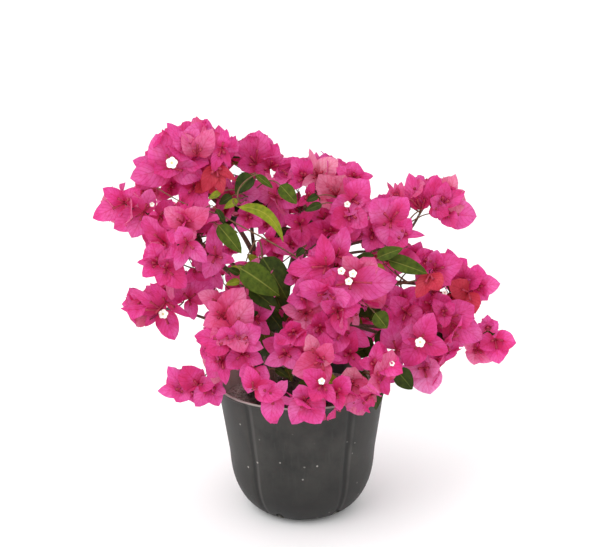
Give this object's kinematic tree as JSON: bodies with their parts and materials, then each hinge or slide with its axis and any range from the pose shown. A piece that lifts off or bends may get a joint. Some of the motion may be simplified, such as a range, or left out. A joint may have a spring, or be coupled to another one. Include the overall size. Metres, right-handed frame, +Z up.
{
  "type": "potted bougainvillea bush",
  "caption": "Bushy bougainvillea in full magenta bloom in a black round nursery pot, with a short forked trunk, arching canes and bract masses.",
  "frame": {"origin": "centre of the pot's flat underside", "axes": "+Z up along the pot's axis, -Y towards the side that the bush is shown from, +X to the right seen from there"},
  "size_m": [0.5881, 0.4008, 0.5453],
  "materials": {
    "pot": "satin",
    "soil": "matte",
    "bark": "matte",
    "bracts": "matte",
    "leaves": "satin"
  },
  "bodies": {
    "root": {"pot": "pot", "soil": "soil", "trunk": "bark", "cane_top_left": "bark", "cane_top_left_rear": "bark", "cane_left_shoulder": "bark", "cane_left_inner": "bark", "cane_left_front": "bark", "cane_left_arm": "bark", "cane_left_low": "bark", "cane_left_middle": "bark", "cane_top_middle": "bark", "cane_top_right_middle": "bark", "cane_centre_front": "bark", "cane_centre_middle": "bark", "cane_front_low_left": "bark", "cane_front_low_middle": "bark", "cane_right_inner": "bark", "cane_right_arm": "bark", "cane_right_top": "bark", "cane_right_middle": "bark", "cane_right_low": "bark", "cane_front_low_right": "bark", "cane_right_tip": "bark", "cane_rear_left": "bark", "cane_rear_middle": "bark", "cane_rear_right": "bark", "cane_rear_low_left": "bark", "cane_rear_low_right": "bark", "cane_leafy_front": "bark", "cane_leafy_top": "bark", "mass_top_left": "bracts", "mass_top_left_rear": "bracts", "mass_left_shoulder": "bracts", "mass_left_inner": "bracts", "mass_left_arm": "bracts", "mass_left_low": "bracts", "mass_left_front": "bracts", "mass_left_middle": "bracts", "mass_top_middle": "bracts", "mass_top_right_middle": "bracts", "mass_centre_front": "bracts", "mass_centre_middle": "bracts", "mass_front_low_left": "bracts", "mass_front_low_middle": "bracts", "mass_front_low_right": "bracts", "mass_right_inner": "bracts", "mass_right_top": "bracts", "mass_right_arm": "bracts", "mass_right_middle": "bracts", "mass_right_tip": "bracts", "mass_right_low": "bracts", "mass_rear_left": "bracts", "mass_rear_middle": "bracts", "mass_rear_right": "bracts", "mass_rear_low_left": "bracts", "mass_rear_low_right": "bracts", "mass_leafy_front": "leaves", "mass_leafy_top": "leaves"}
  },
  "joints": []
}
